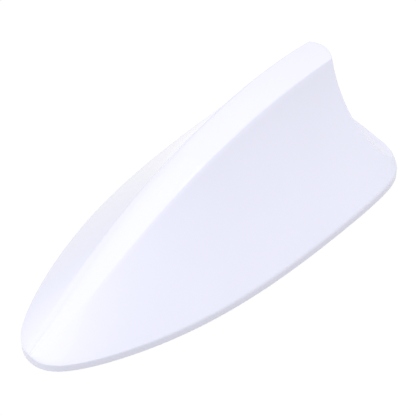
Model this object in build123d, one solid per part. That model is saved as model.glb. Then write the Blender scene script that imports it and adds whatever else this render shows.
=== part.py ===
from build123d import *
from math import atan2, cos, pi, sin, tan
import os

# Fin cover, outside, measured up from its rim
FIN_LENGTH = 165.0
FIN_WIDTH = 75.0
FIN_HEIGHT = 57.0
SPINE_WIDTH = 12.4
LIP_HEIGHT = 3.8
CROWN_NOSE = 0.3
CROWN_TAIL = 0.5

# Frames of the skin from nose to tail, as a boat has them. Each pulls the skin towards its own place along
# the length, half width, height above the lip and half width of the spine, all as shares of the fin's sizes.
# The last number says how full the section is: 1 is the round nose, 0 the hollow flare of the tail.
FRAMES = [
    (0.000, 0.000, 0.011, 0.000, 1.0),
    (0.000, 0.572, 0.044, 0.278, 1.0),
    (0.214, 0.436, 0.264, 0.439, 1.0),
    (0.328, 1.311, 0.925, 0.737, 0.2),
    (0.572, 1.109, 1.267, 1.092, 0.0),
    (0.883, 0.778, 1.054, 1.125, 0.0),
    (1.000, 1.083, 0.916, 1.002, 0.0),
    (1.000, 1.227, 0.917, 0.980, 0.0),
    (1.000, 0.000, 0.876, 0.000, 0.0),
]

# Section of the side between lip and spine: where its two inner control points stand, as shares of the way
# out from spine to lip and up from lip to spine, in the flare and in the full nose
FLARE_FOOT = Vector(0.58, 0.33)
FLARE_HEAD = Vector(0.20, 0.67)
NOSE_FOOT = Vector(0.85, 0.40)
NOSE_HEAD = Vector(0.50, 0.92)

# Bowed trailing face from above the spine down to the lip: how far forward of the tail it stands at its
# sides, its height above the rim, its half width and how much its middle bulges aft
TRAIL = [
    (17.8, 62.0, 5.5, 2.8),
    (16.4, 34.0, 9.0, 2.8),
    (15.3, 11.3, 22.0, 1.4),
    (-0.3, 5.2, 33.0, 0.3),
]
TRAIL_SPREAD = 1.5
TRAIL_REACH = 40.0

# Walls and ledge of the cover; its hollow is drawn in straight runs, so many along the skin and so many down
# the trailing face, and a cutter reaches a little past the face that it cuts
WALL = 2.2
SPINE_WALL = 1.6
RIM_WALL = 2.0
LEDGE_WIDTH = 2.2
LEDGE_RISE = 1.3
CORE_RUNS = 8
TRAIL_RUNS = 4
CUT_OVERLAP = 1.0

# The stack under the fin
PLATE_GAP = 0.25
RIM_LIFT = 0.5
PAD_THICKNESS = 1.1
PAD_MARGIN = 1.0
PLATE_THICKNESS = 2.5
SEAL_THICKNESS = 1.0

# Screws that close the housing
COVER_SCREW_DIAMETER = 3.0
COVER_SCREW_REACH = 7.0
COVER_HEAD_DIAMETER = 5.6
COVER_HEAD_HEIGHT = 0.9
BOSS_DIAMETER = 7.2
HOLE_GAP = 0.2
THREAD_GAP = 0.05
NOSE_SCREW_SETBACK = 20.5
TAIL_SCREW_SETBACK = 20.0
TAIL_SCREW_INSET = 15.5

# Cable entry
CABLE_BORE = 5.2
CABLE_SETBACK = 37.0
GROMMET_NECK = 9.0
GROMMET_FLANGE = 12.5
GROMMET_LOWER = 0.9
GROMMET_UPPER = 1.6
GROMMET_GAP = 0.05

# Board and its screws
BOARD_SETBACK = 53.0
BOARD_LENGTH = 66.0
BOARD_WIDTH = 28.0
BOARD_THICKNESS = 1.6
BOARD_CORNER = 2.0
POST_HEIGHT = 5.0
POST_DIAMETER = 6.0
POST_INSET = 4.0
BOARD_SCREW_DIAMETER = 2.4
BOARD_SCREW_REACH = 4.0
BOARD_HEAD_DIAMETER = 4.4
BOARD_HEAD_HEIGHT = 1.5

# Coaxial socket on the board's front edge
SOCKET_BODY = 6.4
SOCKET_BARREL = 5.2
SOCKET_BARREL_LENGTH = 6.5
SOCKET_BORE = 4.0
SOCKET_DEPTH = 9.0
INSULATOR_LENGTH = 4.0
PIN_DIAMETER = 1.0
PIN_REACH = 7.5
FIT_GAP = 0.04

# Parts soldered on the board
CAN_LENGTH = 20.0
CAN_WIDTH = 16.0
CAN_HEIGHT = 4.2
CAN_SHEET = 0.3
CAN_CORNER = 1.2
CAN_SETBACK = 12.0
CHIP_SIDE = 5.0
CHIP_HEIGHT = 1.1
PASSIVE_LENGTH = 2.0
PASSIVE_WIDTH = 1.25
CAPACITOR_HEIGHT = 1.0
RESISTOR_HEIGHT = 0.5
INDUCTOR_SIDE = 3.2
INDUCTOR_HEIGHT = 2.0
PASSIVE_PITCH = 3.4
PASSIVE_GAP = 1.4
CAPACITOR_COUNT = 6
RESISTOR_COUNT = 5

# Coil post, winding and top plate
FORMER_SETBACK = 16.0
FORMER_DIAMETER = 11.0
FORMER_BORE = 7.0
FORMER_FOOT_DIAMETER = 16.0
FORMER_FOOT_HEIGHT = 2.0
NECK_DIAMETER = 5.6
NECK_LENGTH = 9.0
COIL_PITCH = 8.0
COIL_WIRE_WIDTH = 1.2
COIL_WIRE_THICKNESS = 0.5
COIL_GAP = 0.1
HAT_FRONT = 22.0
HAT_REAR = 32.0
HAT_SHEET = 0.5
HAT_WING = 10.0
HAT_DROP = 3.0
HAT_CLEARANCE = 1.0
HAT_BEND = 0.8
HAT_SCREW_DIAMETER = 2.5
HAT_SCREW_REACH = 6.0
HAT_HEAD_DIAMETER = 4.6
HAT_HEAD_HEIGHT = 1.6

# How closely a place along a curve is found, as a share of the curve
LINE_STEP = 1e-9

# Levels and places that follow from the sizes above
NOSE_X = -FIN_LENGTH / 2
TAIL_X = FIN_LENGTH / 2
LIP_Z = RIM_LIFT + LIP_HEIGHT
PLATE_BOTTOM = PAD_THICKNESS
PLATE_TOP = PLATE_BOTTOM + PLATE_THICKNESS
LEDGE_Z = PLATE_TOP + SEAL_THICKNESS
LEDGE_INSET = RIM_WALL + LEDGE_WIDTH
BOARD_BOTTOM = PLATE_TOP + POST_HEIGHT
BOARD_TOP = BOARD_BOTTOM + BOARD_THICKNESS
BOARD_FRONT = NOSE_X + BOARD_SETBACK
BOARD_REAR = BOARD_FRONT + BOARD_LENGTH
BOARD_X = (BOARD_FRONT + BOARD_REAR) / 2
CABLE_X = NOSE_X + CABLE_SETBACK
FORMER_X = BOARD_REAR - FORMER_SETBACK
CAN_X = BOARD_FRONT + CAN_SETBACK + CAN_LENGTH / 2
CAPACITOR_X = CAN_X + CAN_LENGTH / 2 + PASSIVE_GAP + PASSIVE_LENGTH / 2
RESISTOR_X = CAPACITOR_X + PASSIVE_LENGTH + PASSIVE_GAP
SOCKET_Z = BOARD_TOP + SOCKET_BODY / 2
SOCKET_MOUTH = BOARD_FRONT - SOCKET_BARREL_LENGTH
SOCKET_FLOOR = SOCKET_MOUTH + SOCKET_DEPTH
SCREW_PLACES = [
    (NOSE_X + NOSE_SCREW_SETBACK, 0),
    (TAIL_X - TAIL_SCREW_SETBACK, FIN_WIDTH / 2 - TAIL_SCREW_INSET),
    (TAIL_X - TAIL_SCREW_SETBACK, TAIL_SCREW_INSET - FIN_WIDTH / 2),
]
POST_PLACES = [
    (BOARD_X + sx * (BOARD_LENGTH / 2 - POST_INSET), sy * (BOARD_WIDTH / 2 - POST_INSET))
    for sx in (-1, 1)
    for sy in (-1, 1)
]
BOARD_SCREW_PLACES = [POST_PLACES[0], POST_PLACES[3]]


# Curves of the skin

def lerp(a, b, share):
    """The point that lies the given share of the way from a to b."""
    return a + (b - a) * share


def line_point(controls, share):
    """The point that lies the given share of the way along a curve with these controls."""
    points = list(controls)
    while len(points) > 1:
        points = [lerp(a, b, share) for a, b in zip(points, points[1:])]
    return points[0]


def line_at_x(controls, x):
    """The point of such a curve that stands at the given place along the fin."""
    low, high = 0.0, 1.0
    while high - low > LINE_STEP:
        middle = (low + high) / 2
        low, high = (middle, high) if line_point(controls, middle).X < x else (low, middle)
    return line_point(controls, low)


def frame_points(frame, side, depth):
    """Points of one frame from lip to middle line. Depth 0 is the outside of the wall and 1 its inside."""
    along, wide, high, band, full = frame
    inset = depth * LEDGE_INSET
    x = lerp(NOSE_X + inset, TAIL_X - inset, along)
    reach = wide * (FIN_WIDTH / 2 - inset)
    half = band * (SPINE_WIDTH / 2 - depth * SPINE_WALL)
    lip = LIP_Z + depth * LEDGE_RISE
    rise = high * (FIN_HEIGHT - LIP_HEIGHT - CROWN_TAIL - depth * (WALL + LEDGE_RISE))
    crown = lerp(CROWN_TAIL, CROWN_NOSE, full)

    def at(place):
        return Vector(x, side * lerp(half, reach, place.X), lip + rise * place.Y)

    edge = at(Vector(0, 1))
    top_line = edge + Vector(0, -side * half / 2, crown)
    middle = edge + Vector(0, -side * half, crown)
    foot = at(lerp(FLARE_FOOT, NOSE_FOOT, full))
    head = at(lerp(FLARE_HEAD, NOSE_HEAD, full))
    return at(Vector(1, 0)), foot, head, edge, top_line, middle


def section_strips(points, bottom):
    """Wall, flared side and spine band of one section, each by its own controls."""
    corner, foot, head, edge, top_line, middle = points
    low = Vector(corner.X, corner.Y, bottom)
    return [[low, corner], [corner, foot, head, edge], [edge, top_line, middle]]


def outer_skin():
    """Full body under the outside of the fin, whose two sides meet at nose, tail and spine."""
    faces = []
    floor = []
    for side in (-1, 1):
        columns = [section_strips(frame_points(frame, side, 0), RIM_LIFT) for frame in FRAMES]
        for pieces in zip(*columns):
            faces.append(Face.make_bezier_surface(list(zip(*pieces))))
        floor.append(Edge.make_bezier(*[column[0][0] for column in columns]))
    return Solid(Shell(faces + [Face(Wire(floor))]))


def inner_skin(depth):
    """Body inside the wall, in straight runs between sections: half the wall at depth 0.5, all of it at 1."""
    faces = []
    floor = []
    for side in (-1, 1):
        rows = list(zip(*[frame_points(frame, side, depth) for frame in FRAMES]))
        columns = []
        for i in range(CORE_RUNS + 1):
            share = (1 - cos(pi * i / CORE_RUNS)) / 2
            points = [line_point(row, share) for row in rows]
            columns.append(section_strips(points, LEDGE_Z - CUT_OVERLAP))
        for before, after in zip(columns, columns[1:]):
            for pair in zip(before, after):
                faces.append(Face.make_bezier_surface(pair))
            floor.append(Edge.make_line(before[0][0], after[0][0]))
    return Solid(Shell(faces + [Face(Wire(floor))]))


def slab(inset, bottom, top):
    """Plate with the fin's plan, drawn smaller by the inset."""
    walls = []
    rims = []
    for side in (-1, 1):
        plan = []
        for along, wide, *_ in FRAMES:
            x = lerp(NOSE_X + inset, TAIL_X - inset, along)
            plan.append(Vector(x, side * wide * (FIN_WIDTH / 2 - inset)))
        lines = [[point + Vector(0, 0, z) for point in plan] for z in (bottom, top)]
        walls.append(Face.make_bezier_surface(lines))
        rims.append([Edge.make_bezier(*line) for line in lines])
    ends = [Face(Wire(pair)) for pair in zip(*rims)]
    return Solid(Shell(walls + ends))


def rod(x, y, bottom, top, diameter):
    """Upright cylinder between two levels."""
    upright = (Align.CENTER, Align.CENTER, Align.MIN)
    return Pos(x, y, bottom) * Cylinder(diameter / 2, top - bottom, align=upright)


def block(x, y, bottom, length, width, height):
    """Upright box centred on a place."""
    return Pos(x, y, bottom) * Box(length, width, height, align=(Align.CENTER, Align.CENTER, Align.MIN))


# Fin cover

def trailing_rows(back_off):
    """Controls of the bowed trailing face from top to lip, moved forward by the given distance."""
    spread = TRAIL_SPREAD ** 2
    rows = []
    for step, height, half, bow in TRAIL:
        x = TAIL_X - step - back_off
        z = RIM_LIFT + height
        near = Vector(x + bow * (1 - spread), -TRAIL_SPREAD * half, z)
        middle = Vector(x + bow * (1 + spread), 0, z)
        far = Vector(x + bow * (1 - spread), TRAIL_SPREAD * half, z)
        rows.append([near, middle, far])
    return rows


def aft_of(rows):
    """All that lies aft of a face with these rows of controls."""
    return extrude(Face.make_bezier_surface(rows), TRAIL_REACH, dir=(1, 0, 0))


def inside(depth):
    """What the wall encloses, in straight runs behind the trailing face too."""
    columns = list(zip(*trailing_rows(depth * WALL)))
    levels = [[line_point(column, i / TRAIL_RUNS) for column in columns] for i in range(TRAIL_RUNS + 1)]
    return inner_skin(depth) - [aft_of(pair) for pair in zip(levels, levels[1:])]


def fin_cover():
    """Moulded shell with a ledge for the seal and bosses for the screws."""
    shell = outer_skin() - aft_of(trailing_rows(0)) - inside(1)
    shell -= slab(RIM_WALL, RIM_LIFT - CUT_OVERLAP, LEDGE_Z)
    core = inside(0.5)
    pilot = COVER_SCREW_DIAMETER + 2 * THREAD_GAP
    top = PLATE_TOP + COVER_SCREW_REACH + HOLE_GAP
    for x, y in SCREW_PLACES:
        shell += rod(x, y, PLATE_TOP, FIN_HEIGHT, BOSS_DIAMETER) & core
        shell -= rod(x, y, PLATE_TOP, top, pilot)
    return shell


# Screws, floor of the housing, seal and pad

def pan_screw(seat, diameter, reach, head_diameter, head_height):
    """Plain screw that points up from its seat, with a low head below it."""
    x, y, z = seat
    return rod(x, y, z - head_height, z, head_diameter) + rod(x, y, z, z + reach, diameter)


def hanging_screw(seat, *sizes):
    """The same screw driven down from above."""
    return Pos(*seat) * Rot(180, 0, 0) * pan_screw((0, 0, 0), *sizes)


def cover_screws():
    """The screws that hold floor and cover together."""
    reach = PLATE_THICKNESS + COVER_SCREW_REACH
    sizes = (COVER_SCREW_DIAMETER, reach, COVER_HEAD_DIAMETER, COVER_HEAD_HEIGHT)
    return Compound([pan_screw((x, y, PLATE_BOTTOM), *sizes) for x, y in SCREW_PLACES])


def base_plate():
    """Floor with screw holes, a cable hole and four posts for the board, two of them bored."""
    plate = slab(RIM_WALL + PLATE_GAP, PLATE_BOTTOM, PLATE_TOP)
    for x, y in POST_PLACES:
        plate += rod(x, y, PLATE_TOP, BOARD_BOTTOM, POST_DIAMETER)
    for x, y in SCREW_PLACES:
        plate -= rod(x, y, PLATE_BOTTOM, PLATE_TOP, COVER_SCREW_DIAMETER + 2 * HOLE_GAP)
    for x, y in BOARD_SCREW_PLACES:
        deep = BOARD_BOTTOM - BOARD_SCREW_REACH - HOLE_GAP
        plate -= rod(x, y, deep, BOARD_BOTTOM, BOARD_SCREW_DIAMETER + 2 * THREAD_GAP)
    return plate - rod(CABLE_X, 0, PLATE_BOTTOM, PLATE_TOP, GROMMET_NECK)


def base_seal():
    """Flat ring that the floor presses against the ledge of the cover."""
    ring = slab(RIM_WALL + PLATE_GAP, PLATE_TOP, LEDGE_Z)
    return ring - slab(LEDGE_INSET, PLATE_TOP, LEDGE_Z)


def adhesive_pad():
    """Foam pad under the floor, pierced for the screws and the cable."""
    pad = slab(RIM_WALL + PLATE_GAP + PAD_MARGIN, 0, PAD_THICKNESS)
    for x, y in SCREW_PLACES:
        pad -= rod(x, y, 0, PAD_THICKNESS, COVER_HEAD_DIAMETER + 2 * PAD_MARGIN)
    return pad - rod(CABLE_X, 0, 0, PAD_THICKNESS, GROMMET_FLANGE + 2 * PAD_MARGIN)


def cable_grommet():
    """Rubber ring with a groove that the edge of the cable hole sits in."""
    neck = GROMMET_NECK - 2 * GROMMET_GAP
    ring = rod(CABLE_X, 0, PLATE_BOTTOM - GROMMET_LOWER, PLATE_BOTTOM, GROMMET_FLANGE)
    ring += rod(CABLE_X, 0, PLATE_BOTTOM, PLATE_TOP, neck)
    upright = (Align.CENTER, Align.CENTER, Align.MIN)
    ring += Pos(CABLE_X, 0, PLATE_TOP) * Cone(GROMMET_FLANGE / 2, neck / 2, GROMMET_UPPER, align=upright)
    return ring - rod(CABLE_X, 0, 0, PLATE_TOP + GROMMET_UPPER, CABLE_BORE)


# Board and what is soldered to it

def circuit_board():
    """Board with rounded corners and its two screw holes."""
    board = block(BOARD_X, 0, BOARD_BOTTOM, BOARD_LENGTH, BOARD_WIDTH, BOARD_THICKNESS)
    board = fillet(board.edges().filter_by(Axis.Z), BOARD_CORNER)
    for x, y in BOARD_SCREW_PLACES:
        board -= rod(x, y, BOARD_BOTTOM, BOARD_TOP, BOARD_SCREW_DIAMETER + 2 * HOLE_GAP)
    return board


def board_screws():
    """The screws that hold the board on its posts."""
    reach = BOARD_THICKNESS + BOARD_SCREW_REACH
    sizes = (BOARD_SCREW_DIAMETER, reach, BOARD_HEAD_DIAMETER, BOARD_HEAD_HEIGHT)
    return Compound([hanging_screw((x, y, BOARD_TOP), *sizes) for x, y in BOARD_SCREW_PLACES])


def socket_rod(start, end, diameter):
    """Cylinder on the socket's axis, between two places along the fin."""
    axis = Plane(origin=(start, 0, SOCKET_Z), z_dir=(1, 0, 0))
    return axis * Cylinder(diameter / 2, end - start, align=(Align.CENTER, Align.CENTER, Align.MIN))


def socket_shell():
    """Square body on the board with a round barrel over its front edge."""
    shell = block(BOARD_FRONT + SOCKET_BODY / 2, 0, BOARD_TOP, SOCKET_BODY, SOCKET_BODY, SOCKET_BODY)
    shell += socket_rod(SOCKET_MOUTH, BOARD_FRONT, SOCKET_BARREL)
    return shell - socket_rod(SOCKET_MOUTH, SOCKET_FLOOR, SOCKET_BORE)


def socket_insulator():
    """Bush at the bottom of the socket."""
    front = SOCKET_FLOOR - INSULATOR_LENGTH
    bush = socket_rod(front, SOCKET_FLOOR, SOCKET_BORE - 2 * FIT_GAP)
    return bush - socket_rod(front, SOCKET_FLOOR, PIN_DIAMETER + 2 * FIT_GAP)


def socket_pin():
    """Centre contact with a bevelled tip."""
    pin = socket_rod(SOCKET_FLOOR - PIN_REACH, SOCKET_FLOOR, PIN_DIAMETER)
    return chamfer(pin.edges().sort_by(Axis.X)[0], PIN_DIAMETER / 4)


def shield_can():
    """Folded lid over the amplifier."""
    inside = CAN_HEIGHT - CAN_SHEET
    lid = block(CAN_X, 0, BOARD_TOP, CAN_LENGTH, CAN_WIDTH, CAN_HEIGHT)
    hollow = block(CAN_X, 0, BOARD_TOP, CAN_LENGTH - 2 * CAN_SHEET, CAN_WIDTH - 2 * CAN_SHEET, inside)
    lid = fillet(lid.edges().filter_by(Axis.Z), CAN_CORNER)
    lid -= fillet(hollow.edges().filter_by(Axis.Z), CAN_CORNER - CAN_SHEET)
    return lid


def amplifier_chip():
    """Flat package with a bevelled top, under the lid."""
    chip = block(CAN_X, 0, BOARD_TOP, CHIP_SIDE, CHIP_SIDE, CHIP_HEIGHT)
    return chamfer(chip.edges().group_by(Axis.Z)[-1], CHIP_HEIGHT / 4)


def passive_row(x, count, height):
    """A row of small parts across the board, behind the lid."""
    places = [(x, (i - (count - 1) / 2) * PASSIVE_PITCH) for i in range(count)]
    return Compound([block(x, y, BOARD_TOP, PASSIVE_LENGTH, PASSIVE_WIDTH, height) for x, y in places])


def chip_capacitors():
    """Small capacitors next to the lid."""
    return passive_row(CAPACITOR_X, CAPACITOR_COUNT, CAPACITOR_HEIGHT)


def chip_resistors():
    """Small resistors between the capacitors and the coil."""
    return passive_row(RESISTOR_X, RESISTOR_COUNT, RESISTOR_HEIGHT)


def chip_inductors():
    """Filter coils beside the lid, in square packages with bevelled corners."""
    y = (BOARD_WIDTH + CAN_WIDTH) / 4
    packages = []
    for x in (CAN_X - INDUCTOR_SIDE, CAN_X + INDUCTOR_SIDE):
        for side in (-1, 1):
            package = block(x, side * y, BOARD_TOP, INDUCTOR_SIDE, INDUCTOR_SIDE, INDUCTOR_HEIGHT)
            packages.append(chamfer(package.edges().filter_by(Axis.Z), INDUCTOR_SIDE / 6))
    return Compound(packages)


# Coil post, winding and top plate

def hat_section():
    """Height of the top plate, its half width and its wings' lean, from the hollow at its front end."""
    columns = [frame_points(frame, 1, 1) for frame in FRAMES]
    front = FORMER_X - HAT_FRONT
    lip, edge = [line_at_x([column[i] for column in columns], front) for i in (0, 3)]
    lean = atan2(FLARE_HEAD.X * (lip.Y - edge.Y), (1 - FLARE_HEAD.Y) * (edge.Z - lip.Z))
    return edge.Z - HAT_DROP, edge.Y + HAT_DROP * tan(lean) - HAT_CLEARANCE / cos(lean), lean


HAT_TOP, HAT_HALF, HAT_LEAN = hat_section()
HAT_BOTTOM = HAT_TOP - HAT_SHEET
NECK_Z = HAT_BOTTOM - NECK_LENGTH


def top_load_plate():
    """Sheet folded to a saddle under the spine."""
    fold = Vector(HAT_HALF, HAT_TOP)
    low = fold + Vector(sin(HAT_LEAN), -cos(HAT_LEAN)) * HAT_WING
    end = low - Vector(cos(HAT_LEAN), sin(HAT_LEAN)) * HAT_SHEET
    corner = Vector(HAT_HALF - HAT_SHEET * (1 - sin(HAT_LEAN)) / cos(HAT_LEAN), HAT_BOTTOM)
    right = [fold, low, end, corner]
    left = [Vector(-point.X, point.Y) for point in right[::-1]]
    front = FORMER_X - HAT_FRONT
    profile = Face(Wire.make_polygon([(front, point.X, point.Y) for point in right + left]))
    sheet = extrude(profile, HAT_FRONT + HAT_REAR, dir=(1, 0, 0))
    for place, radius in ((fold, HAT_BEND + HAT_SHEET), (corner, HAT_BEND)):
        ridges = []
        for edge in sheet.edges().filter_by(Axis.X):
            if abs(abs(edge.center().Y) - place.X) + abs(edge.center().Z - place.Y) < HAT_SHEET / 4:
                ridges.append(edge)
        sheet = fillet(ridges, radius)
    return sheet - rod(FORMER_X, 0, HAT_BOTTOM, HAT_TOP, HAT_SCREW_DIAMETER + 2 * HOLE_GAP)


def hat_screw():
    """Screw through the top plate into the post."""
    reach = HAT_SHEET + HAT_SCREW_REACH
    sizes = (HAT_SCREW_DIAMETER, reach, HAT_HEAD_DIAMETER, HAT_HEAD_HEIGHT)
    return hanging_screw((FORMER_X, 0, HAT_TOP), *sizes)


def coil_former():
    """Hollow post with a foot on the board and a neck that carries the top plate."""
    post = rod(FORMER_X, 0, BOARD_TOP, BOARD_TOP + FORMER_FOOT_HEIGHT, FORMER_FOOT_DIAMETER)
    post += rod(FORMER_X, 0, BOARD_TOP, NECK_Z, FORMER_DIAMETER)
    post += rod(FORMER_X, 0, NECK_Z, HAT_BOTTOM, NECK_DIAMETER)
    post -= rod(FORMER_X, 0, BOARD_TOP, NECK_Z - FORMER_FOOT_HEIGHT, FORMER_BORE)
    notch = COIL_WIRE_WIDTH + 2 * HOLE_GAP
    wire_x = FORMER_X + FORMER_DIAMETER / 2
    reach = FORMER_FOOT_DIAMETER - FORMER_DIAMETER
    post -= block(wire_x + reach / 2, 0, BOARD_TOP, reach, notch, FORMER_FOOT_HEIGHT)
    deep = HAT_BOTTOM - HAT_SCREW_REACH - HOLE_GAP
    return post - rod(FORMER_X, 0, deep, HAT_BOTTOM, HAT_SCREW_DIAMETER + 2 * THREAD_GAP)


def antenna_coil():
    """Flat wire wound on the post, with one end down to the board and the other up to the top plate."""
    low = BOARD_TOP + FORMER_FOOT_HEIGHT + COIL_WIRE_WIDTH
    turns = int((NECK_Z - COIL_WIRE_WIDTH - low) / COIL_PITCH)
    high = low + turns * COIL_PITCH
    radius = FORMER_DIAMETER / 2 + COIL_GAP + COIL_WIRE_THICKNESS / 2
    path = Helix(COIL_PITCH, turns * COIL_PITCH, radius)
    start = Plane(origin=path @ 0, x_dir=(1, 0, 0), z_dir=path % 0)
    wire = sweep(start * Rectangle(COIL_WIRE_THICKNESS, COIL_WIRE_WIDTH), path, is_frenet=True)
    coil = Pos(FORMER_X, 0, low) * wire
    for bottom, top in ((BOARD_TOP, low), (high, HAT_BOTTOM)):
        coil += block(FORMER_X + radius, 0, bottom, COIL_WIRE_THICKNESS, COIL_WIRE_WIDTH, top - bottom)
    return coil


PIECES = [
    fin_cover,
    base_plate,
    base_seal,
    adhesive_pad,
    cover_screws,
    cable_grommet,
    circuit_board,
    board_screws,
    socket_shell,
    socket_insulator,
    socket_pin,
    shield_can,
    amplifier_chip,
    chip_capacitors,
    chip_resistors,
    chip_inductors,
    coil_former,
    antenna_coil,
    top_load_plate,
    hat_screw,
]

os.makedirs("parts", exist_ok=True)
for make in PIECES:
    piece = make()
    export_step(piece, f"parts/{make.__name__}.step")
    print(make.__name__, round(piece.volume, 1), piece.is_valid)
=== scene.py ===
# %% [markdown]
# This lesson dresses a roof aerial: a hollow, glossy white fin that stands on a car and hides a
# small radio amplifier. The solid model arrives as a frame that stays where it is. Everything made
# here is laid over it, in metres and in the same axes: +X runs aft to the tail, +Y to one side and
# +Z up.

# %% Load the frame
from math import comb, cos, pi, radians, sin

import bmesh
import bpy
import numpy as np
from mathutils import Matrix, Vector


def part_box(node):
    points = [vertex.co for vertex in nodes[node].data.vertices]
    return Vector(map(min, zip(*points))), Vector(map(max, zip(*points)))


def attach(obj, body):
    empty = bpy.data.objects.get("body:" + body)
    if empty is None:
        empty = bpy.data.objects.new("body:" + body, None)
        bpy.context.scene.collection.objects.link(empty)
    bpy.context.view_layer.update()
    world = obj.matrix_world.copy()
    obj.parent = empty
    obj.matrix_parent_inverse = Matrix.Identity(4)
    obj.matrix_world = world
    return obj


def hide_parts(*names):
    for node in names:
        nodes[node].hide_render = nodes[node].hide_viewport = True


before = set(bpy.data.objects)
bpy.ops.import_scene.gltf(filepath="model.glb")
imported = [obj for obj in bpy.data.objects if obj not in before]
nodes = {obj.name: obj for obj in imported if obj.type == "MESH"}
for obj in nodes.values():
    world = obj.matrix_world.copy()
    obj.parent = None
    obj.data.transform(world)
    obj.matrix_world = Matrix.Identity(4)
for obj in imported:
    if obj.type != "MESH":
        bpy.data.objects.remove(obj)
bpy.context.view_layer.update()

# %% [markdown]
# A few short helpers come first. Lengths are easier to think about in millimetres, so one factor
# turns them into Blender's metres. A finished piece always has its place in its vertices, and its
# object stays at the origin.

# %% Shared helpers
MM = 0.001


def lerp(a, b, share):
    """The value that lies the given share of the way from a to b."""
    return a + (b - a) * share


def bezier(points, share):
    """De Casteljau's scheme: draw the control points together until one is left."""
    points = [np.asarray(p, float) for p in points]
    while len(points) > 1:
        points = [lerp(a, b, share) for a, b in zip(points, points[1:])]
    return points[0]


def mesh_object(name, mesh):
    """A new object at the origin that shows the given mesh."""
    thing = bpy.data.objects.new(name, mesh)
    bpy.context.scene.collection.objects.link(thing)
    return thing


def triangles(thing):
    """How many triangles the object's mesh has."""
    thing.data.calc_loop_triangles()
    return len(thing.data.loop_triangles)


print("one millimetre is", MM, "m")

# %% [markdown]
# The fin's skin follows a rule that a boat builder would know. Nine frames stand along the length,
# each with its own half width, height and spine width. They steer one long smooth curve for every
# line along the hull, from the tip of the nose to the middle of the tail. A subdivided box could be
# pulled into such a shape by eye, but the rule is the one the solid model uses, so the mesh fits it
# without any fitting.

# %% Sizes of the fin
rim_corner, crown_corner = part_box("fin_cover")
NOSE_X = rim_corner.x
TAIL_X = crown_corner.x
RIM_Z = rim_corner.z
FIN_WIDTH = 75 * MM
FIN_HEIGHT = 57 * MM
SPINE_WIDTH = 12.4 * MM
LIP_HEIGHT = 3.8 * MM
LIP_Z = RIM_Z + LIP_HEIGHT
CROWN_NOSE = 0.3 * MM
CROWN_TAIL = 0.5 * MM

# place along the length, half width, height above the lip and half spine as shares, then fullness
FRAMES = [
    (0.000, 0.000, 0.011, 0.000, 1.0),
    (0.000, 0.572, 0.044, 0.278, 1.0),
    (0.214, 0.436, 0.264, 0.439, 1.0),
    (0.328, 1.311, 0.925, 0.737, 0.2),
    (0.572, 1.109, 1.267, 1.092, 0.0),
    (0.883, 0.778, 1.054, 1.125, 0.0),
    (1.000, 1.083, 0.916, 1.002, 0.0),
    (1.000, 1.227, 0.917, 0.980, 0.0),
    (1.000, 0.000, 0.876, 0.000, 0.0),
]
print("fin is", round((TAIL_X - NOSE_X) / MM, 1), "mm long, its rim stands", round(RIM_Z / MM, 2), "mm up")

# %% [markdown]
# Each frame is a section through the fin. From the rim it goes up the lip, turns over a small
# round, runs up the flared side, turns over the shoulder and crosses the spine. Eleven control
# points describe it. The nose frames are full and round, the tail frames hollow, and a fullness
# number slides between the two. The hollow inside repeats the same section one wall further in.

# %% Control points of one section
FLARE_FOOT = np.array((0.58, 0.33))
FLARE_HEAD = np.array((0.20, 0.67))
NOSE_FOOT = np.array((0.85, 0.40))
NOSE_HEAD = np.array((0.50, 0.92))
LIP_ROUND = 1.0 * MM
LIP_BLEND = 0.05
SHOULDER_NOSE = 0.40
SHOULDER_TAIL = 0.02
SPINE_NOSE = 0.55
SPINE_TAIL = 0.12
WALL = 2.2 * MM
SPINE_WALL = 1.6 * MM
RIM_WALL = 2.0 * MM
LEDGE_WIDTH = 2.2 * MM
LEDGE_RISE = 1.3 * MM
LEDGE_INSET = RIM_WALL + LEDGE_WIDTH


def frame_points(row, bottom, depth):
    """The control points of one frame on the +Y side; depth 0 is the outside and 1 the hollow."""
    place, wide, high, band, full = row
    inset = depth * LEDGE_INSET
    x = lerp(NOSE_X + inset, TAIL_X - inset, place)
    reach = wide * (FIN_WIDTH / 2 - inset)
    half = band * (SPINE_WIDTH / 2 - depth * SPINE_WALL)
    lip = LIP_Z + depth * LEDGE_RISE
    rise = high * (FIN_HEIGHT - LIP_HEIGHT - CROWN_TAIL - depth * (WALL + LEDGE_RISE))
    crown = lerp(CROWN_TAIL, CROWN_NOSE, full)

    def at(out, up):
        return np.array((x, lerp(half, reach, out), lip + rise * up))

    corner = at(1, 0)
    foot = at(*lerp(FLARE_FOOT, NOSE_FOOT, full))
    head = at(*lerp(FLARE_HEAD, NOSE_HEAD, full))
    edge = at(0, 1)
    top_line = edge + (0, -half / 2, crown)
    return [
        np.array((x, reach, bottom)),
        corner - (0, 0, LIP_ROUND),
        corner,
        lerp(corner, foot, LIP_BLEND),
        foot,
        head,
        lerp(edge, head, lerp(SHOULDER_TAIL, SHOULDER_NOSE, full)),
        edge,
        lerp(edge, top_line, lerp(SPINE_TAIL, SPINE_NOSE, full)),
        top_line,
        edge + (0, -half, crown),
    ]


def control_net(bottom, depth):
    """Control points of a whole skin on one side, as rows x frames x 3."""
    return np.array([frame_points(row, bottom, depth) for row in FRAMES]).transpose(1, 0, 2)


outer_net = control_net(RIM_Z, 0)
print("control net:", outer_net.shape)

# %% [markdown]
# Blending the control points across one section gives nine new points, and one Bezier curve with
# those controls runs along the fin. So every line along the mesh is a single polynomial, with no
# joins that a glossy finish would show up. Steps lie closer together where the side turns into the
# lip.

# %% Lines along the fin
# first and last control row of a strip, steps across it, and how strongly they crowd towards its first row
STRIPS = [(0, 1, 3, 1.0), (1, 3, 8, 1.0), (3, 6, 40, 1.6), (6, 8, 12, 1.0), (8, 10, 8, 1.0)]


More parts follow.
